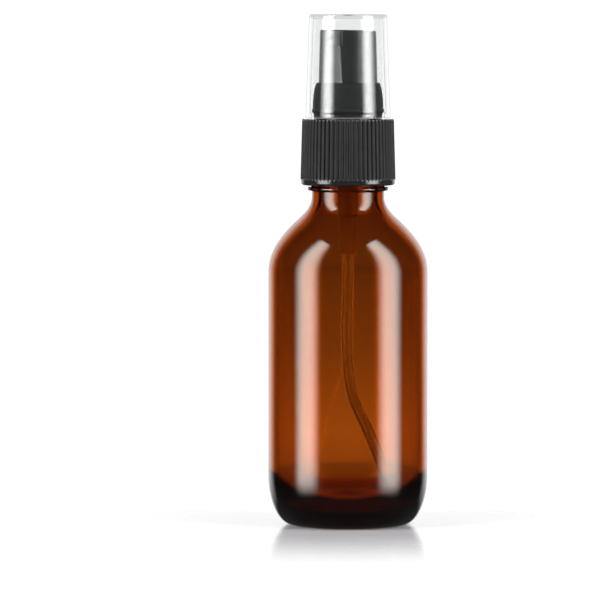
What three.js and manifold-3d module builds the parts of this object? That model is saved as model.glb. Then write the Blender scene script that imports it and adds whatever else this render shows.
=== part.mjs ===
// A 60 ml amber glass bottle with a screw-on treatment pump and a clear overcap.
// Millimetres, +Z up, origin at the centre of the base. The nozzle points to -X, -Y.
import * as THREE from "three";
import { mergeVertices } from "three/addons/utils/BufferGeometryUtils.js";
import Module from "manifold-3d";

const wasm = await Module();
wasm.setup();

// ---- Driving dimensions ------------------------------------------------------------------
const TOTAL_HEIGHT = 124;
const ROUND = 48; // sides of a turned piece
const GAP = 0.15; // running and seating clearance
const TURN = 2 * Math.PI;

const bottle = {
  radius: 19.45,
  wall: 2.0,
  heelWidth: 5.8, // the outside of the heel is a quarter ellipse
  heelHeight: 12.5,
  floor: 4.2, // height of the inside floor
  floorWidth: 5.5, // the inside of the heel, another quarter ellipse
  floorRise: 6,
  ringInner: 11.5, // the standing ring, around the pushed-up base
  pushUp: 0.9,
  shoulderBottom: 61.2,
  slopeRadius: 13.8, // middle of the sloping shoulder
  slopeHeight: 72.8,
  neckRadius: 8.85,
  neckBottom: 79.6,
  beadRadius: 9.9,
  beadBottom: 81.3,
  beadTop: 82.2,
  bore: 6.4,
  mouth: 94.2,
};

const thread = {
  pitch: 3.175, // 8 turns to the inch
  turns: 1.25,
  glassSection: 0.95, // radius of the glass thread, centred on the neck's wall
  glassStart: 87.4,
  closureSection: 0.65,
  closureInset: 0.15, // how far the closure's thread is centred inside its bore
  closureDrop: 1.35, // the closure's thread lies this far under the glass thread
};

const closure = {
  bottom: 82.6,
  ribsBottom: 84.0,
  top: 98.7,
  bottomRadius: 11.55,
  topRadius: 11.15,
  ribs: 60,
  ribDepth: 0.35,
  bore: 10.3,
  plate: 1.6,
  plateHole: 7.2,
  domeTop: 107.4,
  domeRadius: 8.55,
  domeTopRadius: 7.85,
  domeBore: 7.75,
  domeMouth: 7.42,
  beadRadius: 8.8,
  beadHeight: 100.7,
  grooveRadius: 8.3,
};

const overcap = {
  bottom: closure.top + GAP,
  bottomRadius: 10.35,
  topRadius: 9.45,
  corner: 0.6,
  wall: 1.0,
  roof: 0.95,
  snapRadius: 8.97, // inside of the thicker rim that grips the closure's bead
  snapTop: 100.0,
  dimpleRadius: 1.1,
  dimpleDepth: 0.45,
};

const actuator = {
  bottom: 105.2,
  top: 120.3,
  bottomRadius: 7.2,
  topRadius: 6.8,
  corner: 0.35,
  fall: 0.4, // the top is lower by this much on the side away from the nozzle
  wall: 1.0,
  ceiling: 1.4,
  flat: 6.5, // distance of the flat under the nozzle from the axis
  nozzleAngle: (233 * Math.PI) / 180,
  nozzleTip: 6.95,
  nozzleWidth: 5.6,
  nozzleHeight: 4,
  ductWidth: 3,
  ductRadius: 0.65,
  socketRadius: 3.3,
  socketBottom: 107,
};

const housing = {
  flangeRadius: 8.8,
  flangeBottom: 95.4,
  flangeTop: 96.9,
  cupRadius: 7.0,
  cupBore: 6.0,
  cupFloor: 96.4,
  cupTop: 100,
  beadRadius: 7.45, // holds the closure on the pump, and lets it turn
  beadBottom: 98.9,
  beadTop: 99.5,
  chamberRadius: 4.7,
  chamberBore: 3.6,
  chamberTop: 98.2,
  chamberFloor: 84,
  cageBore: 1.75,
  cageFloor: 79.5,
  keeperBore: 1.12, // stops the ball from leaving its cage
  keeperBottom: 82.2,
  inletBore: 0.85,
  socketTop: 78,
  neckRadius: 2.5,
  neckBottom: 74.5,
  tailRadius: 2.0,
  tailBottom: 65.7,
  tailBore: 1.52,
};

const chaplet = { top: 99.4, plateBottom: 98.4, skirtBottom: 96.7, plugBottom: 96.0 };
const gasket = { radius: 8.6, bore: 5.1, bottom: 94.35, top: 95.25 };
const stem = { radius: 2.2, bore: 1.3, bottom: 94.7, top: 114 };
const seat = { top: 97.6, neck: 1.1, cone: 2.4, flange: 3.0, bottom: 88.6, rod: 1.6 };
const piston = { radius: 3.5, bore: 1.45, bottom: 92.75, top: 95.8 };
const ball = { radius: 1.3, rest: 80.62 };
const spring = { wire: 0.3, radius: 2.75, turns: 5, bottom: 84.5, top: 91.35 };
const tube = {
  radius: 1.4,
  bore: 0.95,
  top: 77.8,
  // Centre line below the pump, as [x, z]: the tube's own curl carries its end to the wall.
  route: [[0, 69], [0, 58], [-0.3, 44.5], [1.1, 32], [5.6, 21.3], [11.6, 6]],
};

// ---- Materials -----------------------------------------------------------------------------
const paint = (color, roughness, metalness = 0, opacity = 1) =>
  new THREE.MeshStandardMaterial({
    color,
    roughness,
    metalness,
    opacity,
    transparent: opacity < 1,
  });
const amberGlass = paint(0x7a3206, 0.04, 0, 0.7);
const clearPlastic = paint(0xf2f4f5, 0.05, 0, 0.25);
const blackPlastic = paint(0x222222, 0.32);
const naturalPlastic = paint(0xe4e2da, 0.4);
const softPlastic = paint(0xf0efe9, 0.5);
const foam = paint(0xf4f3ee, 0.9);
const steel = paint(0xb8babd, 0.25, 1);

// ---- Helpers -------------------------------------------------------------------------------
// A three.js geometry as a closed manifold-3d solid.
function solidOf(geometry) {
  const bare = geometry.clone();
  bare.deleteAttribute("normal");
  bare.deleteAttribute("uv");
  const merged = mergeVertices(bare, 1e-4);
  return new wasm.Manifold(
    new wasm.Mesh({
      numProp: 3,
      vertProperties: merged.attributes.position.array,
      triVerts: new Uint32Array(merged.index.array),
    }),
  );
}

// A manifold-3d solid back as a three.js geometry.
function geometryOf(solid) {
  const mesh = solid.getMesh();
  return new THREE.BufferGeometry()
    .setAttribute("position", new THREE.BufferAttribute(mesh.vertProperties, 3))
    .setIndex(new THREE.BufferAttribute(mesh.triVerts, 1));
}

// A profile of [radius, height] points turned about Z. It runs up the outside and down the
// inside, from axis to axis or right round a hollow piece.
function turned(profile, sides = ROUND) {
  const points = profile.map(([r, z]) => new THREE.Vector2(r, z));
  if (profile[0][0] > 0) points.push(points[0].clone());
  return new THREE.LatheGeometry(points, sides).rotateX(Math.PI / 2);
}

// A profile's elliptical arc; angles in degrees, 0 outwards and 90 upwards.
function arc(r, z, width, height, from, to, steps) {
  return Array.from({ length: steps + 1 }, (_, i) => {
    const angle = THREE.MathUtils.degToRad(from + ((to - from) * i) / steps);
    return [r + width * Math.cos(angle), z + height * Math.sin(angle)];
  });
}

// A profile's Bezier curve through its two ends, drawn towards two handles.
function bezier(ends, steps) {
  const curve = new THREE.CubicBezierCurve(...ends.map(([r, z]) => new THREE.Vector2(r, z)));
  return curve.getPoints(steps).map((p) => [p.x, p.y]);
}

const block = (width, depth, height) => solidOf(new THREE.BoxGeometry(width, depth, height));
const cylinder = (radius, bottom, top) =>
  solidOf(turned([[0, bottom], [radius, bottom], [radius, top], [0, top]]));

class Helix extends THREE.Curve {
  constructor(radius, bottom, pitch, turns) {
    super();
    Object.assign(this, { radius, bottom, pitch, turns });
  }
  getPoint(t, target = new THREE.Vector3()) {
    const angle = TURN * this.turns * t;
    const height = this.bottom + this.pitch * this.turns * t;
    return target.set(this.radius * Math.cos(angle), this.radius * Math.sin(angle), height);
  }
}

// A bar of round section along a curve.
function rod(curve, radius, steps, sides) {
  const section = new THREE.Shape().absarc(0, 0, radius, 0, TURN);
  return new THREE.ExtrudeGeometry(section, {
    extrudePath: curve,
    steps,
    curveSegments: sides / 2,
    bevelEnabled: false,
  });
}

const parts = new THREE.Group();
function add(name, geometry, material) {
  const mesh = new THREE.Mesh(geometry, material);
  mesh.name = name;
  parts.add(mesh);
}

// ---- Glass bottle --------------------------------------------------------------------------
// The outside from the body to the neck: a round shoulder, a slope and a fillet.
function shoulder(inset) {
  const b = bottle;
  const body = b.radius - inset;
  const slope = [b.slopeRadius - inset * Math.SQRT1_2, b.slopeHeight - inset * Math.SQRT1_2];
  const neck = inset ? b.bore : b.neckRadius;
  const fillet = [[slope[0] - 2.5, slope[1] + 2.5], [neck, b.neckBottom - 2.7]];
  const round = [[body, b.shoulderBottom + 4.8], [slope[0] + 3.4, slope[1] - 3.5]];
  return [
    ...bezier([[body, b.shoulderBottom], ...round, slope], 6),
    ...bezier([slope, ...fillet, [neck, b.neckBottom]], 5).slice(1),
  ];
}

function bottleProfile() {
  const b = bottle;
  const inside = b.radius - b.wall;
  return [
    [0, b.pushUp],
    [b.ringInner - 1.5, b.pushUp],
    [b.ringInner, 0],
    ...arc(b.radius - b.heelWidth, b.heelHeight, b.heelWidth, b.heelHeight, -90, 0, 8),
    ...shoulder(0),
    [b.neckRadius, b.beadBottom - 0.3],
    [b.beadRadius - 0.4, b.beadBottom],
    [b.beadRadius, b.beadBottom + 0.4],
    [b.beadRadius, b.beadTop - 0.4],
    [b.beadRadius - 0.4, b.beadTop],
    [b.neckRadius, b.beadTop + 0.3],
    [b.neckRadius, b.mouth - 0.4],
    [b.neckRadius - 0.4, b.mouth],
    [b.bore + 0.4, b.mouth],
    [b.bore, b.mouth - 0.4],
    ...shoulder(b.wall).reverse(),
    ...arc(inside - b.floorWidth, b.floor + b.floorRise, b.floorWidth, b.floorRise, 0, -90, 6),
    [0, b.floor + b.pushUp],
  ];
}

function bottleGeometry() {
  const t = thread;
  const path = new Helix(bottle.neckRadius, t.glassStart, t.pitch, t.turns);
  const glassThread = solidOf(rod(path, t.glassSection, 40, 10));
  const bore = cylinder(bottle.bore + 0.6, t.glassStart - 5, bottle.mouth);
  return geometryOf(solidOf(turned(bottleProfile())).add(glassThread.subtract(bore)));
}
add("bottle", bottleGeometry(), amberGlass);

// ---- Ribbed closure ------------------------------------------------------------------------
function ribbedSkirt() {
  const c = closure;
  const height = c.top - c.ribsBottom;
  const corners = [0.08, 0.2, 0.48, 0.6]; // where one rib starts, peaks, falls and ends
  const outline = new THREE.Shape();
  for (let rib = 0; rib < c.ribs; rib++)
    corners.forEach((share, i) => {
      const angle = ((rib + share) * TURN) / c.ribs;
      const r = c.bottomRadius - (i === 1 || i === 2 ? 0 : c.ribDepth);
      if (rib + i === 0) outline.moveTo(r * Math.cos(angle), r * Math.sin(angle));
      else outline.lineTo(r * Math.cos(angle), r * Math.sin(angle));
    });
  const skirt = new THREE.ExtrudeGeometry(outline, { depth: height, bevelEnabled: false });
  const place = skirt.attributes.position;
  for (let i = 0; i < place.count; i++) {
    const rise = place.getZ(i) / height;
    const narrowing = 1 + rise * (c.topRadius / c.bottomRadius - 1);
    place.setXY(i, place.getX(i) * narrowing, place.getY(i) * narrowing);
  }
  return skirt.translate(0, 0, c.ribsBottom);
}

function lipAndDome() {
  const c = closure;
  const lip = c.ribsBottom - c.bottom;
  return turned([
    [0, c.bottom],
    ...arc(c.bottomRadius - 0.85, c.ribsBottom, 0.8, lip, -90, 0, 4),
    [c.bottomRadius - 0.05, c.ribsBottom + 0.2],
    [c.grooveRadius, c.ribsBottom + 0.2],
    [c.grooveRadius, c.beadHeight - 0.9],
    [c.beadRadius, c.beadHeight - 0.25],
    [c.beadRadius, c.beadHeight + 0.1],
    [c.domeRadius, c.beadHeight + 0.5],
    [c.domeRadius - 0.05, c.domeTop - 4.4],
    [c.domeTopRadius + 0.3, c.domeTop - 1.6],
    [c.domeTopRadius, c.domeTop - 0.6],
    [c.domeTopRadius - 0.3, c.domeTop],
    [0, c.domeTop],
  ]);
}

function closureHollow() {
  const c = closure;
  const under = c.top - c.plate;
  return turned([
    [0, c.bottom - 1],
    [c.bore + 0.25, c.bottom - 1],
    [c.bore + 0.25, c.bottom + 0.3],
    [c.bore, c.bottom + 0.7],
    [c.bore, under],
    [c.plateHole, under],
    [c.plateHole, c.top],
    [c.domeBore, c.top],
    [c.domeBore, c.domeTop - 1.6],
    [c.domeMouth, c.domeTop - 1.2],
    [c.domeMouth, c.domeTop + 1],
    [0, c.domeTop + 1],
  ]);
}

function closureGeometry() {
  const t = thread;
  const radius = closure.bore - t.closureInset;
  const path = new Helix(radius, t.glassStart - t.closureDrop, t.pitch, t.turns);
  const shell = solidOf(ribbedSkirt()).add(solidOf(lipAndDome()));
  const threaded = solidOf(rod(path, t.closureSection, 40, 10));
  return geometryOf(shell.subtract(solidOf(closureHollow())).add(threaded));
}
add("closure", closureGeometry(), blackPlastic);

// ---- Clear overcap ---------------------------------------------------------------------------
function overcapGeometry() {
  const o = overcap;
  const taper = (o.bottomRadius - o.topRadius) / (TOTAL_HEIGHT - o.bottom);
  const insideAt = (z) => o.bottomRadius - o.wall - taper * (z - o.bottom);
  const ceiling = TOTAL_HEIGHT - o.roof;
  return turned([
    [0, ceiling],
    [insideAt(ceiling) - 0.4, ceiling],
    [insideAt(ceiling), ceiling - 0.4],
    [insideAt(o.snapTop), o.snapTop + 0.3],
    [o.snapRadius, o.snapTop - 0.1],
    [o.snapRadius, o.bottom + 0.3],
    [o.snapRadius + 0.3, o.bottom],
    [o.bottomRadius - 0.25, o.bottom],
    [o.bottomRadius, o.bottom + 0.25],
    ...arc(o.topRadius - o.corner, TOTAL_HEIGHT - o.corner, o.corner, o.corner, 0, 90, 3),
    [o.dimpleRadius, TOTAL_HEIGHT],
    [0, TOTAL_HEIGHT - o.dimpleDepth],
  ]);
}
add("overcap", overcapGeometry(), clearPlastic);

// ---- Actuator --------------------------------------------------------------------------------
// Everything is drawn with the nozzle on +X, then turned to the nozzle's own direction.
function actuatorOutside() {
  const a = actuator;
  const body = solidOf(turned([
    [0, a.bottom],
    [a.bottomRadius - 0.2, a.bottom],
    [a.bottomRadius, a.bottom + 0.2],
    [a.topRadius + 0.05, a.top - a.corner],
    [a.topRadius - a.corner + 0.05, a.top],
    [0, a.top],
  ], 64));
  const recess = block(6, 20, 40).translate(a.flat + 3, 0, a.top - a.nozzleHeight - 20);
  const nozzle = block(a.nozzleTip, a.nozzleWidth, a.nozzleHeight)
    .translate(a.nozzleTip / 2, 0, a.top - a.nozzleHeight / 2);
  const tilt = THREE.MathUtils.radToDeg(Math.atan(a.fall / (2 * a.topRadius)));
  const slope = block(40, 40, 10).translate(-20, 0, 5).rotate(0, -tilt, 0)
    .translate(a.topRadius, 0, a.top);
  return body.subtract(recess).add(nozzle).subtract(slope);
}

function actuatorHollow() {
  const a = actuator;
  const ceiling = a.top - a.ceiling;
  const axisHeight = a.top - a.nozzleHeight / 2;
  const inside = solidOf(turned([
    [0, a.bottom - 1],
    [a.bottomRadius - a.wall, a.bottom - 1],
    [a.topRadius - a.wall, ceiling],
    [0, ceiling],
  ]));
  const front = block(6, 20, 40).translate(a.flat - a.wall + 3, 0, a.top - 20);
  const socket = cylinder(a.socketRadius, a.socketBottom, a.top);
  const duct = block(a.flat, a.ductWidth, a.nozzleHeight)
    .translate(a.flat / 2, 0, axisHeight - 0.3);
  const stemBore = cylinder(stem.radius + GAP, a.bottom - 1, stem.top + GAP);
  const rise = cylinder(stem.bore, stem.top, axisHeight + a.ductRadius);
  const across = cylinder(a.ductRadius, 0, a.nozzleTip + 1).rotate(0, 90, 0)
    .translate(0, 0, axisHeight);
  return inside.subtract(front).subtract(socket).subtract(duct).add(stemBore).add(rise).add(across);
}

function actuatorGeometry() {
  const solid = actuatorOutside().subtract(actuatorHollow());
  return geometryOf(solid).rotateZ(actuator.nozzleAngle);
}
add("actuator", actuatorGeometry(), blackPlastic);

// ---- Pump housing, chaplet and gasket ----------------------------------------------------------
function housingProfile() {
  const h = housing;
  return [
    [h.tailBore, h.tailBottom],
    [h.tailRadius, h.tailBottom],
    [h.tailRadius, h.neckBottom - 0.6],
    [h.neckRadius, h.neckBottom],
    [h.neckRadius, h.chamberFloor - 1.6],
    [h.chamberRadius, h.chamberFloor - 0.6],
    [h.chamberRadius, h.flangeBottom],
    [h.flangeRadius, h.flangeBottom],
    [h.flangeRadius, h.flangeTop],
    [h.cupRadius, h.flangeTop],
    [h.cupRadius, h.beadBottom],
    [h.beadRadius, h.beadBottom],
    [h.beadRadius, h.beadTop - 0.3],
    [h.cupRadius, h.beadTop],
    [h.cupRadius, h.cupTop],
    [h.cupBore, h.cupTop],
    [h.cupBore, h.cupFloor],
    [h.chamberRadius, h.cupFloor],
    [h.chamberRadius, h.chamberTop],
    [h.chamberBore, h.chamberTop],
    [h.chamberBore, h.chamberFloor],
    [h.keeperBore, h.chamberFloor],
    [h.keeperBore, h.keeperBottom],
    [h.cageBore, h.keeperBottom],
    [h.cageBore, h.cageFloor],
    [h.inletBore, h.cageFloor],
    [h.inletBore, h.socketTop],
    [h.tailBore, h.socketTop],
  ];
}
add("pump_housing", turned(housingProfile(), 40), naturalPlastic);

function chapletProfile() {
  const c = chaplet;
  const bore = stem.radius + 0.2;
  const plug = housing.chamberBore - GAP;
  return [
    [bore, c.plugBottom],
    [plug, c.plugBottom],
    [plug, c.plateBottom],
    [housing.chamberRadius + GAP, c.plateBottom],
    [housing.chamberRadius + GAP, c.skirtBottom],
    [housing.cupBore - GAP, c.skirtBottom],
    [housing.cupBore - GAP, c.top],
    [bore, c.top],
  ];
}
add("chaplet", turned(chapletProfile(), 40), naturalPlastic);

function gasketProfile() {
  const g = gasket;
  return [[g.bore, g.bottom], [g.radius, g.bottom], [g.radius, g.top], [g.bore, g.top]];
}
add("gasket", turned(gasketProfile(), 40), foam);

// ---- Plunger: stem, piston and the seat that opens and shuts under it --------------------------
function stemProfile() {
  const s = stem;
  return [[s.bore, s.bottom], [s.radius, s.bottom], [s.radius, s.top], [s.bore, s.top]];
}
add("stem", turned(stemProfile(), 32), naturalPlastic);

function pistonProfile() {
  const p = piston;
  const hub = stem.radius + 0.4;
  return [
    [p.bore, p.bottom + 1.1],
    [seat.cone - 0.1, p.bottom + 0.15],
    [p.radius - 0.3, p.bottom],
    [p.radius, p.bottom + 0.1],
    [p.radius - 0.2, (p.bottom + p.top) / 2],
    [p.radius, p.top],
    [hub, p.top],
    [hub, stem.bottom - 0.3],
    [p.bore, stem.bottom - 0.3],
  ];
}
add("piston", turned(pistonProfile(), 32), softPlastic);

function seatProfile() {
  const s = seat;
  const flangeTop = piston.bottom - GAP;
  const coneTop = flangeTop + s.cone - s.neck;
  return [
    [0, s.bottom],
    [s.rod - 0.3, s.bottom],
    [s.rod, s.bottom + 0.3],
    [s.rod, flangeTop - 0.8],
    [s.flange, flangeTop - 0.8],
    [s.flange, flangeTop - 0.1],
    [s.cone, flangeTop - 0.1],
    [s.neck, coneTop - 0.1],
    [s.neck, s.top],
    [0, s.top],
  ];
}
add("piston_seat", turned(seatProfile(), 32), naturalPlastic);

// ---- Spring, ball and dip tube -----------------------------------------------------------------
function springGeometry() {
  const s = spring;
  const path = new Helix(s.radius, s.bottom, (s.top - s.bottom) / s.turns, s.turns);
  return rod(path, s.wire, s.turns * 16, 6);
}
add("spring", springGeometry(), steel);

const ballGeometry = new THREE.SphereGeometry(ball.radius, 20, 12);
add("inlet_ball", ballGeometry.rotateX(Math.PI / 2).translate(0, 0, ball.rest), steel);

function tubeGeometry() {
  const places = [[0, tube.top], ...tube.route].map(([x, z]) => new THREE.Vector3(x, 0, z));
  const route = new THREE.CatmullRomCurve3(places);
  const section = new THREE.Shape().absarc(0, 0, tube.radius, 0, TURN);
  section.holes.push(new THREE.Path().absarc(0, 0, tube.bore, 0, TURN));
  return new THREE.ExtrudeGeometry(section, {
    extrudePath: route,
    steps: 40,
    curveSegments: 6,
    bevelEnabled: false,
  });
}
add("dip_tube", tubeGeometry(), softPlastic);

export default parts;
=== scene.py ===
"""Looks for the amber pump bottle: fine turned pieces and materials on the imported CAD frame."""

import math

import bpy
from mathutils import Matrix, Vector


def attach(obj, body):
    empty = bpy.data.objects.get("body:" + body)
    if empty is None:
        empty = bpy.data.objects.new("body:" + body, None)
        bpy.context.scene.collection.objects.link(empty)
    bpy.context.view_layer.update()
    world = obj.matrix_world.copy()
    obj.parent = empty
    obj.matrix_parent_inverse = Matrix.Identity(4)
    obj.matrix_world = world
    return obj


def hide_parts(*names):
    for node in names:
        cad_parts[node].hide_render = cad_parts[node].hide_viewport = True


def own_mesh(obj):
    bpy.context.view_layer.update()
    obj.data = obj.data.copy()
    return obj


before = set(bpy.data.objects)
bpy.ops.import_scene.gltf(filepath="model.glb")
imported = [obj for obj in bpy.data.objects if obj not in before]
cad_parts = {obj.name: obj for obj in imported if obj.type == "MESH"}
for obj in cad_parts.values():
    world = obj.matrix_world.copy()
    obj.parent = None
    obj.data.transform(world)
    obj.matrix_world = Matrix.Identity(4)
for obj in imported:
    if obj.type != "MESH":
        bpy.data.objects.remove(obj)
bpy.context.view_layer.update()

MM = 0.001
TURN = 2 * math.pi

# ---- Driving dimensions, in millimetres ------------------------------------------------------------
TOTAL_HEIGHT = 124.0
NEAR = 0.01  # two radii closer than this are the same wall
SHARP = math.radians(40)  # smooth shading stops at edges sharper than this

BOTTLE_RADIUS = 19.45
WALL = 2.0
HEEL = (5.8, 12.5)  # half axes of the quarter ellipse between the base and the body
FLOOR = 4.2
INSIDE_HEEL = (10.5, 9.5)  # the same inside the glass
RING_INNER = 11.5  # radius where the ring it stands on begins
PUSH_UP = 0.9  # how far the base is hollowed
SHOULDER_BOTTOM = 61.2
SLOPE = (13.8, 72.8)  # radius and height at the middle of the sloping shoulder
NECK_RADIUS = 8.85
NECK_BOTTOM = 79.6
BEAD = (9.9, 81.3, 82.2)  # radius, bottom and top
BORE = 6.4
MOUTH = 94.2
MOUTH_FILLET = 0.7

THREAD_PITCH = 3.175
THREAD_TURNS = 1.25
THREAD_FADE = 0.07  # turns over which a thread's end dies away
GLASS_THREAD = (0.95, 87.4)  # section radius, height of its lower end
CLOSURE_THREAD = (0.65, 86.05)
CLOSURE_THREAD_SHARE = 0.85  # its depth, as a share of a full round section
CLOSURE_THREAD_TOP = 93.0

CLOSURE_BOTTOM = 82.6
RIBS_BOTTOM = 84.0
CLOSURE_TOP = 98.7
CLOSURE_RADII = (11.55, 11.15)  # bottom, top
RIBS = 60
RIB_DEPTH = 0.34
RIB_ROUNDNESS = 2.4  # power of the rib's section; 2 is a plain ellipse
LIP_BAND = 0.7  # height of the plain band under the ribs
CLOSURE_BORE = 10.3
DECK = 1.6  # thickness of the closure's flat top
DECK_HOLE = 7.2
DOME_TOP = 107.4
DOME_RADIUS = 8.55
DOME_OPENING = 7.42
DOME_BORE = 7.75
SNAP_RING = 8.8  # the overcap snaps over it
SNAP_GROOVE = 8.3

OVERCAP_BOTTOM = 98.85
OVERCAP_RADII = (10.35, 9.45)  # bottom, top
OVERCAP_WALL = 1.0
OVERCAP_ROOF = 0.95
SNAP_RADIUS = 8.97  # the inside of the rim, where it grips the dome

ACTUATOR_BOTTOM = 105.2
ACTUATOR_TOP = 120.3
ACTUATOR_RADII = (7.2, 6.8)
ACTUATOR_FALL = 0.4  # the top is this much lower on the side away from the nozzle
ACTUATOR_FILLET = 0.35
NOZZLE_ANGLE = math.radians(233)
NOZZLE_TIP = 6.9
NOZZLE_HALF_WIDTH = 2.8
NOZZLE_HEIGHT = 4.0
NOZZLE_EDGE = 0.5  # how softly its face turns into its sides
NOZZLE_ROOT = 0.7  # how softly its sides turn into the push head
FLAT = 6.5  # distance from the axis to the flat under the nozzle
FLAT_EDGE = 0.08
ACTUATOR_WALL = 1.0
ACTUATOR_ROOF = 1.4
SOCKET = (2.35, 107.0, 114.15)  # radius, bottom and top of the hole that takes the stem
DUCT = 1.3
ORIFICE = 0.65

SPRING_BOTTOM = 84.5
SPRING_TOP = 91.35
SPRING_RADIUS = 2.75
SPRING_TURNS = 5
WIRE = 0.3
BALL_RADIUS = 1.3
BALL_HEIGHT = 80.62
TUBE_RADII = (1.4, 0.95)  # outside, inside
TUBE_ROUTE = [(0, 77.8), (0, 69), (0, 58), (-0.3, 44.5), (1.1, 32), (5.6, 21.3), (11.6, 6)]


# ---- Shape helpers ---------------------------------------------------------------------------------
def arc(centre, axes, start, end, steps):
    """Points of an ellipse's arc; angles in degrees, 0 outwards and 90 upwards."""
    points = []
    for i in range(steps + 1):
        angle = math.radians(start + (end - start) * i / steps)
        points.append((centre[0] + axes[0] * math.cos(angle), centre[1] + axes[1] * math.sin(angle)))
    return points


def bezier(a, b, c, d, steps):
    """Points of a Bezier curve from a to d, with handles b and c."""
    points = []
    for i in range(steps + 1):
        t = i / steps
        weights = ((1 - t) ** 3, 3 * t * (1 - t) ** 2, 3 * t * t * (1 - t), t**3)
        points.append(tuple(sum(w * p[k] for w, p in zip(weights, (a, b, c, d))) for k in (0, 1)))
    return points


def soften(corners, steps=5):
    """A profile of (radius, height, fillet) corners with each corner rounded by its fillet."""
    profile = []
    for i, (r, z, fillet) in enumerate(corners):
        here = Vector((r, z))
        before = Vector(corners[i - 1][:2]) - here
        after = Vector(corners[(i + 1) % len(corners)][:2]) - here
        if not fillet:
            profile.append((r, z))
            continue
        half = before.angle(after) / 2
        reach = min(fillet / math.tan(half), 0.49 * before.length, 0.49 * after.length)
        first = here + before.normalized() * reach
        last = here + after.normalized() * reach
        for k in range(steps + 1):
            t = k / steps
            point = first * (1 - t) ** 2 + here * 2 * t * (1 - t) + last * t * t
            profile.append(tuple(point))
    return profile


def divided(profile, longest):
    """The profile with its long straight runs cut into shorter ones."""
    points = [profile[0]]
    for start, end in zip(profile, profile[1:]):
        count = max(1, math.ceil(math.dist(start, end) / longest))
        for k in range(1, count + 1):
            t = k / count
            points.append((start[0] + (end[0] - start[0]) * t, start[1] + (end[1] - start[1]) * t))
    return points


def new_object(name, vertices, faces):
    """A smooth-shaded mesh object. Its vertices are given in millimetres."""
    mesh = bpy.data.meshes.new(name)
    mesh.from_pydata([Vector(v) * MM for v in vertices], [], faces)
    mesh.shade_smooth()
    piece = bpy.data.objects.new(name, mesh)
    bpy.context.scene.collection.objects.link(piece)
    return piece


def sharpened(piece):
    """Marks the piece's sharp edges, so that smooth shading stops at them."""
    piece.data.set_sharp_from_angle(angle=SHARP)
    return piece


def skinned(name, rings, sides, closed):
    """A skin over rings of (height, radius at an angle), from the axis to the axis or closed on
    itself. A ring of no radius is a point on the axis."""
    vertices, rows = [], []
    for z, radius_at in rings:
        if radius_at is None:
            rows.append([len(vertices)] * sides)
            vertices.append((0, 0, z))
            continue
        rows.append(range(len(vertices), len(vertices) + sides))
        for k in range(sides):
            angle = TURN * k / sides
            radius = radius_at(angle)
            vertices.append((radius * math.cos(angle), radius * math.sin(angle), z))
    faces = []
    for low, high in zip(rows, rows[1:] + rows[:1] if closed else rows[1:]):
        for k in range(sides):
            n = (k + 1) % sides
            corners = dict.fromkeys((low[k], low[n], high[n], high[k]))
            faces.append(tuple(corners))
    return sharpened(new_object(name, vertices, faces))


def turned(name, profile, sides, shaped=None):
    """A profile turned about Z. It runs up the outside, and ends on the axis or closes on itself.
    shaped(r, z, angle) gives the radius where the piece isn't round."""

    def ring(r, z):
        if r == 0:
            return (z, None)
        return (z, (lambda angle: shaped(r, z, angle)) if shaped else (lambda angle: r))

    return skinned(name, [ring(r, z) for r, z in profile], sides, closed=profile[0][0] > 0)


def swept(name, points, radius, sides, bore=0.0):
    """A round bar, or a tube if it has a bore, along a line of points."""
    line = [Vector(p) for p in points]
    normal = Vector((0, 1, 0))
    vertices, rings = [], []
    for i, point in enumerate(line):
        along = (line[min(i + 1, len(line) - 1)] - line[max(i - 1, 0)]).normalized()
        normal = (normal - along * normal.dot(along)).normalized()
        across = along.cross(normal)
        for size in (radius, bore) if bore else (radius,):
            rings.append(range(len(vertices), len(vertices) + sides))
            for k in range(sides):
                angle = TURN * k / sides
                vertices.append(point + (normal * math.cos(angle) + across * math.sin(angle)) * size)
    faces = []

    def join(a, b):
        for k in range(sides):
            n = (k + 1) % sides
            faces.append((a[k], a[n], b[n], b[k]))

    step = 2 if bore else 1
    for i in range(0, len(rings) - step, step):
        join(rings[i], rings[i + step])
        if bore:
            join(rings[i + 3], rings[i + 1])
    if bore:
        join(rings[1], rings[0])
        join(rings[-2], rings[-1])
    else:
        faces.append(tuple(reversed(rings[0])))
        faces.append(tuple(rings[-1]))
    return sharpened(new_object(name, vertices, faces))


def cut(piece, tool):
    """Takes the tool's shape out of the piece."""
    step = piece.modifiers.new("cut", "BOOLEAN")
    step.object = tool
    step.solver = "EXACT"
    bpy.context.view_layer.update()
    shape = piece.evaluated_get(bpy.context.evaluated_depsgraph_get())
    mesh = bpy.data.meshes.new_from_object(shape)
    piece.modifiers.clear()
    piece.data = mesh
    bpy.data.objects.remove(tool)
    return sharpened(piece)


def smoothstep(low, high, value):
    """Rises smoothly from 0 to 1 while the value goes from low to high."""
    t = min(1.0, max(0.0, (value - low) / (high - low)))
    return t * t * (3 - 2 * t)


def thread_height(z, angle, section, start):
    """How far the thread stands out of its wall at this height and angle."""
    highest = 0.0
    for lap in range(math.ceil(THREAD_TURNS)):
        turns = angle / TURN + lap
        off = z - start - THREAD_PITCH * turns
        if turns <= THREAD_TURNS and abs(off) < section:
            fade = smoothstep(0, THREAD_FADE, turns)
            fade *= smoothstep(0, THREAD_FADE, THREAD_TURNS - turns)
            highest = max(highest, fade * math.sqrt(section**2 - off**2))
    return highest


# ---- Bottle ----------------------------------------------------------------------------------------
def shoulder():
    """The round shoulder, the slope and the neck's fillet."""
    r, z = SLOPE
    body = (BOTTLE_RADIUS, SHOULDER_BOTTOM)
    neck = (NECK_RADIUS, NECK_BOTTOM)
    low = bezier(body, (body[0], body[1] + 4.8), (r + 3.4, z - 3.5), SLOPE, 28)
    high = bezier(SLOPE, (r - 2.5, z + 2.5), (neck[0], neck[1] - 2.7), neck, 22)
    return low + high[1:]


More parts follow.
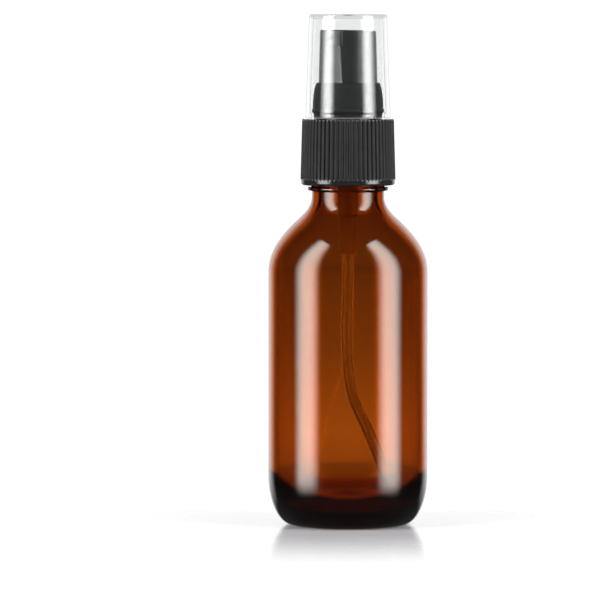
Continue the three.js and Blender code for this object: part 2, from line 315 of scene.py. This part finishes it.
def inside_shoulder():
    """The same line inside the glass, a wall's thickness in, thicker towards the narrow bore."""
    line = shoulder()
    points = []
    for i in range(len(line)):
        before, after = Vector(line[max(i - 1, 0)]), Vector(line[min(i + 1, len(line) - 1)])
        along = (after - before).normalized()
        wall = WALL + (NECK_RADIUS - BORE - WALL) * smoothstep(0.3, 1, i / (len(line) - 1))
        points.append((line[i][0] - along.y * wall, line[i][1] + along.x * wall))
    return points


def bottle_profile():
    """Up the outside from the base to the mouth, and down the inside to the floor."""
    inside = BOTTLE_RADIUS - WALL
    bead, bead_bottom, bead_top = BEAD
    heel = arc((BOTTLE_RADIUS - HEEL[0], HEEL[1]), HEEL, -90, 0, 32)
    inside_heel = arc((inside - INSIDE_HEEL[0], FLOOR + INSIDE_HEEL[1]), INSIDE_HEEL, 0, -90, 24)
    base = [(0, PUSH_UP), (RING_INNER - 1.5, PUSH_UP)]
    ring = bezier(base[1], (RING_INNER - 0.9, PUSH_UP), (RING_INNER - 0.6, 0), (RING_INNER, 0), 8)
    finish = soften([
        (NECK_RADIUS, NECK_BOTTOM, 0),
        (NECK_RADIUS, bead_bottom, 0.3),
        (bead, bead_bottom, 0.45),
        (bead, bead_top, 0.45),
        (NECK_RADIUS, bead_top, 0.3),
        (NECK_RADIUS, MOUTH, MOUTH_FILLET),
        (BORE, MOUTH, MOUTH_FILLET),
        (BORE, NECK_BOTTOM, 0),
    ])
    outside = base[:1] + ring + heel + shoulder()
    inner = inside_shoulder()[::-1] + inside_heel + [(0, FLOOR + PUSH_UP)]
    return divided(outside + finish[1:-1], 0.3) + divided(inner, 0.8)


def bottle_radius(r, z, angle):
    """The neck's wall carries the thread."""
    on_wall = abs(r - NECK_RADIUS) < NEAR and BEAD[2] + 0.4 < z < MOUTH - 0.6
    return r + thread_height(z, angle, *GLASS_THREAD) if on_wall else r


# ---- Closure ---------------------------------------------------------------------------------------
def closure_profile():
    """Up the lip, the ribs and the dome, and down inside the dome and the threaded skirt."""
    low, high = CLOSURE_RADII
    under = CLOSURE_TOP - DECK
    band = RIBS_BOTTOM - LIP_BAND
    lip = arc((low - 0.85, band), (0.8, band - CLOSURE_BOTTOM), -90, 0, 12)
    dome = bezier((DOME_RADIUS, 101.3), (DOME_RADIUS, 103.6), (8.3, 105.4), (8.0, 106.4), 14)
    dome += bezier((8.0, 106.4), (7.85, 106.95), (7.75, DOME_TOP), (7.5, DOME_TOP), 8)[1:]
    corners = [
        *((r, z, 0) for r, z in lip),
        (low, RIBS_BOTTOM + 0.05, 0),
        (high, CLOSURE_TOP, 0.3),
        (SNAP_GROOVE, CLOSURE_TOP, 0.1),
        (SNAP_GROOVE, 99.8, 0.2),
        (SNAP_RING, 100.45, 0.15),
        (SNAP_RING, 100.85, 0.15),
        (DOME_RADIUS, 101.2, 0.15),
        *((r, z, 0) for r, z in dome),
        (DOME_OPENING, DOME_TOP, 0.05),
        (DOME_OPENING, DOME_TOP - 1.2, 0.1),
        (DOME_BORE, DOME_TOP - 1.6, 0.1),
        (DOME_BORE, CLOSURE_TOP, 0.1),
        (DECK_HOLE, CLOSURE_TOP, 0.1),
        (DECK_HOLE, under, 0.1),
        (CLOSURE_BORE, under, 0.3),
        (CLOSURE_BORE, CLOSURE_BOTTOM + 0.7, 0.1),
        (CLOSURE_BORE + 0.25, CLOSURE_BOTTOM + 0.3, 0.1),
        (CLOSURE_BORE + 0.25, CLOSURE_BOTTOM, 0.05),
    ]
    return divided(soften(corners, 4), 0.4)


def closure_radius(r, z, angle):
    """The outside is ribbed, and the bore carries the thread."""
    if r > CLOSURE_RADII[1] - 0.2 and z > RIBS_BOTTOM:
        across = 2 * ((angle * RIBS / TURN) % 1) - 1
        valley = 1 - math.sqrt(max(0.0, 1 - abs(across) ** RIB_ROUNDNESS))
        return r - RIB_DEPTH * valley * smoothstep(RIBS_BOTTOM, RIBS_BOTTOM + 0.5, z)
    if abs(r - CLOSURE_BORE) < NEAR and z < CLOSURE_THREAD_TOP:
        return r - CLOSURE_THREAD_SHARE * thread_height(z, angle, *CLOSURE_THREAD)
    return r


# ---- Overcap ---------------------------------------------------------------------------------------
def overcap_profile():
    """Down the inside from the ceiling, round the snap rim, and up the outside to the dimple."""
    low, high = OVERCAP_RADII
    taper = (low - high) / (TOTAL_HEIGHT - OVERCAP_BOTTOM)
    inside = low - OVERCAP_WALL
    ceiling = TOTAL_HEIGHT - OVERCAP_ROOF
    corners = [
        (0, ceiling, 0),
        (inside - taper * (ceiling - OVERCAP_BOTTOM), ceiling, 0.5),
        (inside - taper * 1.4, OVERCAP_BOTTOM + 1.4, 0.3),
        (SNAP_RADIUS, OVERCAP_BOTTOM + 1.0, 0.2),
        (SNAP_RADIUS, OVERCAP_BOTTOM + 0.3, 0.15),
        (9.25, OVERCAP_BOTTOM, 0.1),
        (low, OVERCAP_BOTTOM, 0.25),
        (high, TOTAL_HEIGHT, 0.7),
        (1.5, TOTAL_HEIGHT, 0.4),
        (0.8, TOTAL_HEIGHT - 0.4, 0.3),
        (0, TOTAL_HEIGHT - 0.4, 0),
    ]
    return divided(soften(corners, 8), 1.0)


# ---- Actuator --------------------------------------------------------------------------------------
def rounded_least(a, b, softness):
    """The smaller of two radii, rounded where they meet."""
    mix = max(0.0, softness - abs(a - b)) / softness
    return min(a, b) - mix * mix * softness / 4


def rounded_most(a, b, softness):
    """The larger of two radii, with a fillet where they meet."""
    return -rounded_least(-a, -b, softness)


def off_nozzle(angle):
    """An angle measured from the nozzle's direction, between half a turn each way."""
    return (angle - NOZZLE_ANGLE + math.pi) % TURN - math.pi


def flat_section(radius, flat):
    """A circle with a flat on the nozzle's side."""

    def radius_at(angle):
        ahead = math.cos(off_nozzle(angle))
        return rounded_least(radius, flat / ahead, FLAT_EDGE) if ahead > 0.5 else radius

    return radius_at


def nozzle_section(radius, inset):
    """A circle with the nozzle's block standing out of it, its face a little rounded."""
    tip = NOZZLE_TIP - inset
    half = NOZZLE_HALF_WIDTH - inset

    def radius_at(angle):
        off = off_nozzle(angle)
        if math.cos(off) < 0.5:
            return radius
        face = tip * (0.7 + 0.3 / math.cos(off))
        edge = rounded_least(face, half / max(0.01, abs(math.sin(off))), NOZZLE_EDGE)
        return rounded_most(radius, edge, NOZZLE_ROOT)

    return radius_at


def plain(radius):
    """A circle."""
    return lambda angle: radius


def actuator_inside():
    """Rings from the duct's end down the socket, and over its post to the skirt's lower edge."""
    low, high = ACTUATOR_RADII
    ceiling = ACTUATOR_TOP - ACTUATOR_ROOF
    socket, socket_bottom, socket_top = SOCKET
    post = socket + 0.95
    return [
        (ceiling, None),
        (ceiling, plain(DUCT)),
        (socket_top, plain(DUCT)),
        (socket_top, plain(socket)),
        (socket_bottom + 0.3, plain(socket)),
        (socket_bottom, plain(socket + 0.25)),
        (socket_bottom, plain(post)),
        (ceiling, plain(post)),
        (ceiling, flat_section(high - ACTUATOR_WALL, FLAT - ACTUATOR_WALL)),
        (ACTUATOR_BOTTOM + 0.1, flat_section(low - ACTUATOR_WALL, FLAT - ACTUATOR_WALL)),
    ]


def actuator_outside():
    """Rings up the flatted skirt, out round the nozzle and over the rounded edge of the top."""
    low, high = ACTUATOR_RADII
    skirt_top = high + 0.1
    skirt_bottom = ACTUATOR_BOTTOM + 0.2
    under = ACTUATOR_TOP - NOZZLE_HEIGHT
    rings = []
    for inset, rise in ((0.9, 0), (0.2, 0), (0.06, 0.06), (0, 0.2)):
        rings.append((ACTUATOR_BOTTOM + rise, flat_section(low - inset, FLAT - inset)))
    for i in range(1, 25):
        share = i / 24
        height = skirt_bottom + (under - skirt_bottom) * share
        rings.append((height, flat_section(low + (skirt_top - low) * share, FLAT)))
    for inset, rise in ((0.15, 0), (0.04, 0.04), (0, 0.15)):
        rings.append((under + rise, nozzle_section(skirt_top, inset)))
    for i in range(1, 12):
        share = i / 11
        height = under + 0.15 + (NOZZLE_HEIGHT - 0.15 - ACTUATOR_FILLET) * share
        rings.append((height, nozzle_section(skirt_top + (high - skirt_top) * share, 0)))
    for i in range(1, 6):
        turn = math.radians(90 * i / 5)
        inset = ACTUATOR_FILLET * (1 - math.cos(turn))
        height = ACTUATOR_TOP - ACTUATOR_FILLET * (1 - math.sin(turn))
        rings.append((height, nozzle_section(high - inset, inset)))
    rings += [(ACTUATOR_TOP, plain(high - inset)) for inset in (1.2, 2.5, 4.5, 6)]
    return rings + [(ACTUATOR_TOP, None)]


def make_actuator():
    """The push head, its top sloping away from the nozzle, with the orifice bored into it."""
    piece = skinned("push_head", actuator_inside() + actuator_outside(), 360, closed=False)
    nozzle = Vector((math.cos(NOZZLE_ANGLE), math.sin(NOZZLE_ANGLE), 0))
    under = ACTUATOR_TOP - NOZZLE_HEIGHT
    for vertex in piece.data.vertices:
        along = vertex.co.dot(nozzle) / (ACTUATOR_RADII[1] * MM)
        drop = ACTUATOR_FALL * (1 - along) / 2 * smoothstep(under, ACTUATOR_TOP, vertex.co.z / MM)
        vertex.co.z -= drop * MM
    height = Vector((0, 0, ACTUATOR_TOP - NOZZLE_HEIGHT / 2))
    line = [nozzle * 5.9 + height, nozzle * 9 + height]
    return cut(piece, swept("orifice", line, ORIFICE, 32))


# ---- Pump ------------------------------------------------------------------------------------------
# Sections as (radius, height, fillet) corners. The housing's tail holds the tube, its waist the
# ball and its chamber the piston; its flange lies on the gasket and its collar holds the chaplet.
HOUSING = [
    (1.52, 65.7, 0.05),
    (2.0, 65.7, 0.1),
    (2.0, 73.9, 0.4),
    (2.5, 74.5, 0.4),
    (2.5, 82.4, 0.6),
    (4.7, 83.4, 0.4),
    (4.7, 95.4, 0.2),
    (8.8, 95.4, 0.1),
    (8.8, 96.9, 0.15),
    (7.0, 96.9, 0.2),
    (7.0, 98.9, 0.05),
    (7.45, 98.9, 0.1),
    (7.45, 99.2, 0.1),
    (7.0, 99.5, 0.1),
    (7.0, 100.0, 0.15),
    (6.0, 100.0, 0.15),
    (6.0, 96.4, 0.2),
    (4.7, 96.4, 0.2),
    (4.7, 98.2, 0.15),
    (3.6, 98.2, 0.15),
    (3.6, 84.0, 0.2),
    (1.12, 84.0, 0.1),
    (1.12, 82.2, 0.05),
    (1.75, 82.2, 0.1),
    (1.75, 79.5, 0.1),
    (0.85, 79.5, 0.1),
    (0.85, 78.0, 0.05),
    (1.52, 78.0, 0.05),
]
CHAPLET = [
    (2.4, 96.0, 0.1),
    (3.45, 96.0, 0.15),
    (3.45, 98.4, 0.1),
    (4.85, 98.4, 0.1),
    (4.85, 96.7, 0.1),
    (5.85, 96.7, 0.2),
    (5.85, 99.4, 0.2),
    (2.4, 99.4, 0.2),
]
GASKET = [(5.1, 94.35, 0.1), (8.6, 94.35, 0.15), (8.6, 95.25, 0.15), (5.1, 95.25, 0.1)]
STEM = [(1.3, 94.7, 0.1), (2.2, 94.7, 0.1), (2.2, 114.0, 0.15), (1.3, 114.0, 0.1)]
PISTON = [
    (1.45, 93.85, 0.05),
    (2.3, 92.9, 0.1),
    (3.2, 92.75, 0.1),
    (3.5, 92.85, 0.08),
    (3.3, 94.275, 0.6),
    (3.5, 95.8, 0.08),
    (2.6, 95.8, 0.1),
    (2.6, 94.4, 0.2),
    (1.45, 94.4, 0.1),
]
SEAT = [
    (0, 88.6, 0),
    (1.3, 88.6, 0.15),
    (1.6, 88.9, 0.15),
    (1.6, 91.8, 0.2),
    (3.0, 91.8, 0.1),
    (3.0, 92.5, 0.1),
    (2.4, 92.5, 0.1),
    (1.1, 93.8, 0.15),
    (1.1, 97.6, 0.2),
    (0, 97.6, 0),
]


def make_spring():
    """An open coil of round wire."""
    steps = SPRING_TURNS * 40
    points = []
    for i in range(steps + 1):
        angle = TURN * SPRING_TURNS * i / steps
        height = SPRING_BOTTOM + (SPRING_TOP - SPRING_BOTTOM) * i / steps
        points.append((SPRING_RADIUS * math.cos(angle), SPRING_RADIUS * math.sin(angle), height))
    return swept("return_spring", points, WIRE, 14)


def make_ball():
    """The valve ball, its two poles set exactly on the axis."""
    profile = arc((0, BALL_HEIGHT), (BALL_RADIUS, BALL_RADIUS), -90, 90, 32)
    profile[0] = (0, profile[0][1])
    profile[-1] = (0, profile[-1][1])
    return turned("valve_ball", profile, 48)


def smooth_route(points, steps):
    """A smooth curve through the points, and straight on at both ends."""
    ends = [points[0] * 2 - points[1], *points, points[-1] * 2 - points[-2]]
    line = []
    for i in range(1, len(ends) - 2):
        a, b, c, d = ends[i - 1 : i + 3]
        for k in range(steps):
            t = k / steps
            bend = (a * 2 - b * 5 + c * 4 - d) * t * t + (b * 3 - a - c * 3 + d) * t**3
            line.append(b + ((c - a) * t + bend) / 2)
    return line + [points[-1]]


def make_tube():
    """The bent dip tube."""
    route = [Vector((x, 0, z)) for x, z in TUBE_ROUTE]
    outside, inside = TUBE_RADII
    return swept("suction_tube", smooth_route(route, 16), outside, 32, bore=inside)


# ---- Materials -------------------------------------------------------------------------------------
NOISE_RANGE = (0.3, 0.7)  # nearly all of a noise's values lie in it
POLISHED = 0.15  # the share of its roughness that a polished face keeps
POLISHED_GLOSS = 0.5


def new_material(name, **values):
    """A material with one Principled shader. Values are for the shader's own sockets."""
    material = bpy.data.materials.new(name)
    material.use_nodes = True
    shader = material.node_tree.nodes["Principled BSDF"]
    for socket, value in values.items():
        shader.inputs[socket.replace("_", " ")].default_value = value
    return material, shader


def noise(material, scale, detail=2.0, stretch=(1, 1, 1)):
    """The value of a noise in the piece's own space; scale is in waves per metre."""
    tree = material.node_tree
    place = tree.nodes.new("ShaderNodeTexCoord")
    mapping = tree.nodes.new("ShaderNodeMapping")
    mapping.inputs["Scale"].default_value = stretch
    texture = tree.nodes.new("ShaderNodeTexNoise")
    texture.inputs["Scale"].default_value = scale
    texture.inputs["Detail"].default_value = detail
    tree.links.new(place.outputs["Object"], mapping.inputs["Vector"])
    tree.links.new(mapping.outputs["Vector"], texture.inputs["Vector"])
    return texture.outputs["Fac"]


def between(tree, value, low, high, start=0, end=1):
    """Runs from low to high while the value goes from start to end."""
    spread = tree.nodes.new("ShaderNodeMapRange")
    spread.inputs["From Min"].default_value = start
    spread.inputs["From Max"].default_value = end
    spread.inputs["To Min"].default_value = low
    spread.inputs["To Max"].default_value = high
    tree.links.new(value, spread.inputs["Value"])
    return spread.outputs["Result"]


def blend(tree, value, low, high, start, end):
    """A colour that goes from low to high while the value goes from start to end."""
    levels = tree.nodes.new("ShaderNodeValToRGB")
    for stop, position, colour in zip(levels.color_ramp.elements, (start, end), (low, high)):
        stop.position = position
        stop.color = (*colour, 1)
    tree.links.new(value, levels.inputs["Fac"])
    return levels.outputs["Color"]


def ramp(tree, value, stops, interpolation="LINEAR"):
    """Grey levels along a value: stops are (value, grey) from low to high."""
    first, last = stops[0][0], stops[-1][0]
    levels = tree.nodes.new("ShaderNodeValToRGB")
    levels.color_ramp.interpolation = interpolation
    ends = levels.color_ramp.elements
    for position, grey in stops[1:-1]:
        ends.new((position - first) / (last - first)).color = (grey, grey, grey, 1)
    for end, (_, grey) in ((ends[0], stops[0]), (ends[-1], stops[-1])):
        end.color = (grey, grey, grey, 1)
    tree.links.new(between(tree, value, 0, 1, first, last), levels.inputs["Fac"])
    return levels.outputs["Color"]


def by_height(tree, stops):
    """Grey levels up the piece: stops are (height in millimetres, grey)."""
    place = tree.nodes.new("ShaderNodeTexCoord")
    parts = tree.nodes.new("ShaderNodeSeparateXYZ")
    tree.links.new(place.outputs["Object"], parts.inputs["Vector"])
    return ramp(tree, parts.outputs["Z"], [(z * MM, grey) for z, grey in stops])


def maths(tree, operation, a, b):
    """Works out one step of maths on a value and a second one, which can be a plain number."""
    node = tree.nodes.new("ShaderNodeMath")
    node.operation = operation
    tree.links.new(a, node.inputs[0])
    if isinstance(b, bpy.types.NodeSocket):
        tree.links.new(b, node.inputs[1])
    else:
        node.inputs[1].default_value = b
    return node.outputs["Value"]


def mixed(tree, share, a, b):
    """Shader a, with this share of it given over to shader b."""
    node = tree.nodes.new("ShaderNodeMixShader")
    tree.links.new(share, node.inputs["Fac"])
    tree.links.new(a, node.inputs[1])
    tree.links.new(b, node.inputs[2])
    return node.outputs["Shader"]


def vary(material, shader, socket, value, low, high):
    """Drives a shader's number between low and high by a texture's value."""
    tree = material.node_tree
    tree.links.new(between(tree, value, low, high, *NOISE_RANGE), shader.inputs[socket])


def vary_colour(material, shader, value, low, high):
    """Drives the base colour between two colours by a texture's value."""
    tree = material.node_tree
    tree.links.new(blend(tree, value, low, high, *NOISE_RANGE), shader.inputs["Base Color"])


def bump(material, shader, value, depth):
    """Presses a texture into the surface; depth is in metres."""
    relief = material.node_tree.nodes.new("ShaderNodeBump")
    relief.inputs["Strength"].default_value = 1.0
    relief.inputs["Distance"].default_value = depth
    material.node_tree.links.new(value, relief.inputs["Height"])
    material.node_tree.links.new(relief.outputs["Normal"], shader.inputs["Normal"])


def absorb(material, colour, density):
    """Colours the light that passes through the material's thickness."""
    tree = material.node_tree
    volume = tree.nodes.new("ShaderNodeVolumeAbsorption")
    volume.inputs["Color"].default_value = (*colour, 1)
    volume.inputs["Density"].default_value = density
    tree.links.new(volume.outputs["Volume"], tree.nodes["Material Output"].inputs["Volume"])


def amber_glass():
    """Brown glass. The mould leaves its heel and shoulder less smooth than its straight sides."""
    material, shader = new_material(
        "amber_glass",
        Base_Color=(0.81, 0.575, 0.32, 1),
        Specular_Tint=(0.93, 0.96, 0.89, 1),
        Transmission_Weight=1.0,
        IOR=1.52,
    )
    tree = material.node_tree
    polish = between(tree, noise(material, 90), 0.0, 0.03, *NOISE_RANGE)
    uneven = by_height(tree, [(9, 0.12), (25, 0), (57, 0), (66, 0.06)])
    tree.links.new(maths(tree, "ADD", polish, uneven), shader.inputs["Roughness"])
    bump(material, shader, noise(material, 70, 1, (1, 1, 0.3)), 0.00003)
    absorb(material, (0.817, 0.534, 0.02), 888)
    return material


def clear_plastic():
    """A thin clear shell: it mirrors little head on and more at its edges, and lets the rest
    straight through. The roof is drawn greyer, a painted shade, and the rim catches the light."""
    material, shader = new_material("clear_plastic", Base_Color=(0.97, 0.975, 0.98, 1))
    vary(material, shader, "Roughness", noise(material, 260, 3, (1, 1, 0.15)), 0.02, 0.06)
    bump(material, shader, noise(material, 160, 2, (1, 1, 0.2)), 0.000012)
    tree = material.node_tree
    facing = tree.nodes.new("ShaderNodeLayerWeight").outputs["Facing"]

    tint = blend(tree, facing, (0.985, 0.99, 0.99), (0.42, 0.43, 0.43), 0.75, 1)
    # painted shade: the roof lets less light straight through than the walls, so it looks greyer
    painted_roof_shade = by_height(tree, [(TOTAL_HEIGHT - 1.2, 1), (TOTAL_HEIGHT - 0.6, 0.84)])
    dimmed = tree.nodes.new("ShaderNodeVectorMath")
    dimmed.operation = "MULTIPLY"
    tree.links.new(tint, dimmed.inputs[0])
    tree.links.new(painted_roof_shade, dimmed.inputs[1])
    clear = tree.nodes.new("ShaderNodeBsdfTransparent")
    tree.links.new(dimmed.outputs["Vector"], clear.inputs["Color"])

    low, high = OVERCAP_BOTTOM, OVERCAP_BOTTOM + 0.6
    tree.links.new(by_height(tree, [(low, 0.2), (high, 1)]), shader.inputs["Metallic"])
    mirrored = between(tree, maths(tree, "POWER", facing, 5), 0.05, 0.45)
    solid = maths(tree, "MAXIMUM", mirrored, by_height(tree, [(low, 0.12), (high, 0)]))
    shell = mixed(tree, solid, clear.outputs["BSDF"], shader.outputs["BSDF"])
    tree.links.new(shell, tree.nodes["Material Output"].inputs["Surface"])
    return material


def black_plastic(name, shade, grain, gloss, polish=None):
    """Fine-grained moulded plastic. Polish lists by height the share of its roughness that is
    left; a polished face is glossier too."""
    material, shader = new_material(name, IOR=1.5, Specular_IOR_Level=gloss)
    tree = material.node_tree
    low, high = ((grey, grey, grey * 1.05) for grey in shade)
    vary_colour(material, shader, noise(material, 300, 4), low, high)
    bump(material, shader, noise(material, 3000, 2), 0.000002)
    roughness = between(tree, noise(material, 700, 3), *grain, *NOISE_RANGE)
    if polish:
        share = by_height(tree, polish)
        roughness = maths(tree, "MULTIPLY", share, roughness)
        sheen = between(tree, share, POLISHED_GLOSS, gloss, POLISHED)
        tree.links.new(sheen, shader.inputs["Specular IOR Level"])
    tree.links.new(roughness, shader.inputs["Roughness"])
    return material


def natural_plastic():
    """Uncoloured plastic, milky but letting light through."""
    material, shader = new_material("natural_plastic", IOR=1.49, Transmission_Weight=0.8)
    vary_colour(material, shader, noise(material, 400, 3), (0.74, 0.72, 0.66), (0.84, 0.83, 0.78))
    vary(material, shader, "Roughness", noise(material, 900, 2), 0.32, 0.46)
    bump(material, shader, noise(material, 3000, 2), 0.000005)
    return material


def soft_plastic():
    """Nearly clear soft plastic, faintly streaked lengthwise."""
    material, shader = new_material("soft_plastic", IOR=1.51, Transmission_Weight=1.0)
    vary_colour(material, shader, noise(material, 500, 3), (0.90, 0.90, 0.88), (0.97, 0.97, 0.95))
    vary(material, shader, "Roughness", noise(material, 600, 2, (1, 1, 0.1)), 0.18, 0.28)
    bump(material, shader, noise(material, 2600, 2, (1, 1, 0.1)), 0.000006)
    return material


def foam():
    """Pale foam with fine cells."""
    material, shader = new_material("foam", IOR=1.45)
    cells = material.node_tree.nodes.new("ShaderNodeTexVoronoi")
    cells.inputs["Scale"].default_value = 3500
    place = material.node_tree.nodes.new("ShaderNodeTexCoord")
    material.node_tree.links.new(place.outputs["Object"], cells.inputs["Vector"])
    vary_colour(material, shader, noise(material, 900, 3), (0.82, 0.82, 0.78), (0.92, 0.92, 0.89))
    vary(material, shader, "Roughness", noise(material, 1500, 2), 0.75, 0.9)
    bump(material, shader, cells.outputs["Distance"], 0.00004)
    return material


def steel():
    """Bright steel, a little uneven in its polish."""
    material, shader = new_material("steel", Metallic=1.0)
    vary_colour(material, shader, noise(material, 800, 3), (0.52, 0.53, 0.55), (0.66, 0.67, 0.68))
    vary(material, shader, "Roughness", noise(material, 2500, 2, (1, 1, 3)), 0.16, 0.3)
    bump(material, shader, noise(material, 6000, 2, (1, 1, 4)), 0.000003)
    return material


# ---- Pieces on the frame ---------------------------------------------------------------------------
CLOSURE_POLISH = [
    (RIBS_BOTTOM, POLISHED),
    (RIBS_BOTTOM + 0.3, 1),
    (CLOSURE_TOP - 0.45, 1),
    (CLOSURE_TOP - 0.3, POLISHED),
    (CLOSURE_TOP + 0.1, POLISHED),
    (CLOSURE_TOP + 0.3, 1),
]
finishes = {
    "amber_glass": amber_glass(),
    "clear_plastic": clear_plastic(),
    "black_plastic": black_plastic("black_plastic", (0.014, 0.019), (0.30, 0.40), 0.48),
    "closure_plastic": black_plastic(
        "closure_plastic", (0.011, 0.015), (0.52, 0.64), 0.17, CLOSURE_POLISH
    ),
    "natural_plastic": natural_plastic(),
    "soft_plastic": soft_plastic(),
    "foam": foam(),
    "steel": steel(),
}


def fit(piece, node, body, slot, finish=None):
    """Puts a finished piece in a CAD node's place."""
    piece.data.materials.clear()
    piece.data.materials.append(finishes[finish or slot])
    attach(piece, body)
    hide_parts(node)
    return piece


fit(turned("glass_bottle", bottle_profile(), 192, bottle_radius), "bottle", "bottle", "amber_glass")
closure = turned("ribbed_closure", closure_profile(), RIBS * 10, closure_radius)
fit(closure, "closure", "closure", "black_plastic", "closure_plastic")
fit(turned("clear_overcap", overcap_profile(), 192), "overcap", "overcap", "clear_plastic")
fit(make_actuator(), "actuator", "actuator", "black_plastic")
fit(turned("pump_body", soften(HOUSING), 96), "pump_housing", "pump_engine", "natural_plastic")
fit(turned("chaplet_ring", soften(CHAPLET), 96), "chaplet", "pump_engine", "natural_plastic")
fit(turned("mouth_gasket", soften(GASKET), 96), "gasket", "pump_engine", "foam")
fit(turned("pump_stem", soften(STEM), 64), "stem", "plunger", "natural_plastic")
fit(turned("pump_piston", soften(PISTON), 96), "piston", "plunger", "soft_plastic")
fit(turned("valve_seat", soften(SEAT), 64), "piston_seat", "plunger", "natural_plastic")
fit(make_ball(), "inlet_ball", "inlet_ball", "steel")
fit(make_tube(), "dip_tube", "pump_engine", "soft_plastic")
spring = fit(make_spring(), "spring", "pump_engine", "steel")
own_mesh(spring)


# ---- Stage -----------------------------------------------------------------------------------------
def add_camera():
    """A long lens a little above the object's middle, looking slightly down."""
    data = bpy.data.cameras.new("camera")
    data.lens = 309
    data.sensor_width = 36
    data.clip_end = 50
    camera = bpy.data.objects.new("camera", data)
    camera.location = (-0.01165, -1.25, 0.1325)
    camera.rotation_euler = Vector((0, 1.25, -0.0779)).to_track_quat("-Z", "Y").to_euler()
    bpy.context.scene.collection.objects.link(camera)
    bpy.context.scene.camera = camera


def add_table():
    """A small round white table that fades out at its edge. It is a little glossy, so the object
    stands on its own reflection."""
    material, shader = new_material("table", Base_Color=(0.64, 0.63, 0.65, 1), IOR=1.45)
    vary(material, shader, "Roughness", noise(material, 60), 0.12, 0.16)
    tree = material.node_tree
    place = tree.nodes.new("ShaderNodeTexCoord")
    distance = tree.nodes.new("ShaderNodeVectorMath")
    distance.operation = "LENGTH"
    tree.links.new(place.outputs["Object"], distance.inputs[0])
    clear = tree.nodes.new("ShaderNodeBsdfTransparent")
    share = ramp(tree, distance.outputs["Value"], [(0.02, 0), (0.1, 1)], "EASE")
    faded = mixed(tree, share, shader.outputs["BSDF"], clear.outputs["BSDF"])
    tree.links.new(faded, tree.nodes["Material Output"].inputs["Surface"])
    edge = [(x, y, 0) for x, y in arc((0, 0), (250, 250), 0, 360, 128)[:-1]]
    table = new_object("table", edge, [range(len(edge))])
    table.data.materials.append(material)
    table.visible_glossy = False
    table.visible_transmission = False


def add_strip(side):
    """One tall softbox with soft edges, seen in the glass as a long bright strip."""
    data = bpy.data.lights.new("strip", "AREA")
    data.shape = "RECTANGLE"
    data.size = 0.68
    data.size_y = 1.83
    data.energy = 37
    data.use_nodes = True
    tree = data.node_tree
    place = tree.nodes.new("ShaderNodeNewGeometry")
    parts = tree.nodes.new("ShaderNodeSeparateXYZ")
    tree.links.new(place.outputs["Parametric"], parts.inputs["Vector"])
    across = ramp(tree, parts.outputs["X"], [(0, 0), (0.4, 1), (0.6, 1), (1, 0)], "EASE")
    upwards = ramp(tree, parts.outputs["Y"], [(0, 0), (0.15, 1), (1, 1)], "EASE")
    level = maths(tree, "MULTIPLY", across, upwards)
    tree.links.new(level, tree.nodes["Emission"].inputs["Strength"])
    strip = bpy.data.objects.new("strip", data)
    angle = math.radians(62.5)
    distance = 0.8
    middle = Vector((0, 0, 0.585))
    strip.location = middle + Vector((side * math.sin(angle), -math.cos(angle), 0)) * distance
    strip.rotation_euler = (middle - strip.location).to_track_quat("-Z", "Y").to_euler()
    bpy.context.scene.collection.objects.link(strip)


def add_world():
    """A white studio. Straight through the glass it shows a backdrop that is brightest low down.
    In mirrored light it is dark but for the backdrop behind the object, and scattered light comes
    evenly from all round. Heights and depths are those of the light's direction."""
    world = bpy.data.worlds.new("studio")
    world.use_nodes = True
    bpy.context.scene.world = world
    tree = world.node_tree
    tree.nodes.clear()
    place = tree.nodes.new("ShaderNodeTexCoord")
    parts = tree.nodes.new("ShaderNodeSeparateXYZ")
    tree.links.new(place.outputs["Generated"], parts.inputs["Vector"])
    depth, height = parts.outputs["Y"], parts.outputs["Z"]

    def background(strength, grey=None):
        node = tree.nodes.new("ShaderNodeBackground")
        node.inputs["Color"].default_value = (1, 1, 1, 1)
        node.inputs["Strength"].default_value = strength
        if grey:
            tree.links.new(grey, node.inputs["Color"])
        return node.outputs["Background"]

    low_glow = [
        (-0.13, 0.4),
        (-0.104, 0.62),
        (-0.089, 0.82),
        (-0.072, 0.45),
        (-0.048, 0.19),
        (-0.034, 0.28),
    ]
    through_glass = background(1.3, ramp(tree, height, low_glow))
    behind = ramp(tree, depth, [(0.68, 0), (0.85, 1)])
    raised = ramp(tree, height, [(-0.3, 0), (-0.1, 1)])
    floor = ramp(tree, height, [(-0.5, 0.07), (-0.15, 0.012)])
    mirrored = background(1.35, maths(tree, "MAXIMUM", maths(tree, "MINIMUM", behind, raised), floor))
    seen = tree.nodes.new("ShaderNodeLightPath").outputs
    shown = mixed(tree, seen["Is Camera Ray"], through_glass, background(1.05))
    shown = mixed(tree, seen["Glossy Depth"], shown, mirrored)
    shown = mixed(tree, seen["Diffuse Depth"], shown, background(0.24))
    output = tree.nodes.new("ShaderNodeOutputWorld")
    tree.links.new(shown, output.inputs["Surface"])


add_camera()
add_table()
for side in (-1, 1):
    add_strip(side)
add_world()
scene = bpy.context.scene
scene.view_settings.view_transform = "Standard"
scene.cycles.max_bounces = 24
scene.cycles.transmission_bounces = 24
scene.cycles.transparent_max_bounces = 16
